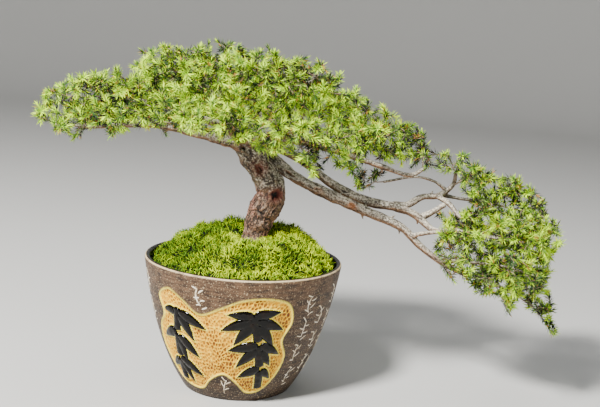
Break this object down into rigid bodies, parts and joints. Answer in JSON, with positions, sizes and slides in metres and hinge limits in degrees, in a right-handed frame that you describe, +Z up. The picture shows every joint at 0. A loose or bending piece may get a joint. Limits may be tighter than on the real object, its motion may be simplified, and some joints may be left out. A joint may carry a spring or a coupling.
{
  "type": "green carpet juniper bonsai",
  "caption": "Cascading green carpet juniper bonsai with needle sprays and a long trailing branch, in a tapered round glazed pot topped with moss.",
  "frame": {"origin": "centre of the pot's flat foot, on the surface it stands on", "axes": "+X to the right of the front view, along the trailing branch; +Y away from the viewer; +Z up"},
  "size_m": [0.5087, 0.1971, 0.3231],
  "materials": {
    "pot_clay": "matte brown clay with a glossy black glaze inside, a worn cream rim and an ochre glazed panel",
    "soil": "rough, damp, granular",
    "moss": "soft, matte",
    "juniper_wood": "rough fibrous bark with pale lichen",
    "juniper_needles": "waxy, satin",
    "drain_screen": "matte"
  },
  "bodies": {
    "root": {"drain_screen_left": "drain_screen", "drain_screen_right": "drain_screen", "moss_mound": "moss", "pot": "pot_clay", "soil": "soil", "spray_back_left_1": "juniper_needles", "spray_back_left_2": "juniper_needles", "spray_back_right_1": "juniper_needles", "spray_back_right_2": "juniper_needles", "spray_fan_low_1": "juniper_needles", "spray_fan_low_2": "juniper_needles", "spray_fan_low_3": "juniper_needles", "spray_fan_mid_1": "juniper_needles", "spray_fan_mid_2": "juniper_needles", "spray_fan_mid_3": "juniper_needles", "spray_fan_mid_4": "juniper_needles", "spray_fan_mid_5": "juniper_needles", "spray_fan_up_1": "juniper_needles", "spray_fan_up_2": "juniper_needles", "spray_fan_up_3": "juniper_needles", "spray_fork_down_1": "juniper_needles", "spray_fork_up_1": "juniper_needles", "spray_fork_up_2": "juniper_needles", "spray_front_left_1": "juniper_needles", "spray_front_left_2": "juniper_needles", "spray_front_left_3": "juniper_needles", "spray_front_right_1": "juniper_needles", "spray_front_right_2": "juniper_needles", "spray_front_right_3": "juniper_needles", "spray_inner_twig_1": "juniper_needles", "spray_leader_left_1": "juniper_needles", "spray_leader_left_2": "juniper_needles", "spray_leader_left_3": "juniper_needles", "spray_leader_left_4": "juniper_needles", "spray_leader_right_1": "juniper_needles", "spray_leader_right_2": "juniper_needles", "spray_leader_right_3": "juniper_needles", "spray_leader_right_4": "juniper_needles", "spray_leader_right_5": "juniper_needles", "spray_left_arm_1": "juniper_needles", "spray_left_arm_2": "juniper_needles", "spray_left_arm_3": "juniper_needles", "spray_left_arm_4": "juniper_needles", "spray_left_arm_5": "juniper_needles", "spray_left_back_1": "juniper_needles", "spray_left_back_2": "juniper_needles", "spray_left_back_3": "juniper_needles", "spray_left_back_4": "juniper_needles", "spray_left_back_5": "juniper_needles", "spray_left_back_6": "juniper_needles", "spray_lower_cascade_1": "juniper_needles", "spray_lower_cascade_2": "juniper_needles", "spray_lower_cascade_3": "juniper_needles", "spray_lower_cascade_4": "juniper_needles", "spray_upper_right_1": "juniper_needles", "spray_upper_right_2": "juniper_needles", "spray_upper_right_3": "juniper_needles", "spray_upper_right_4": "juniper_needles", "trunk_and_branches": "juniper_wood"}
  },
  "joints": []
}
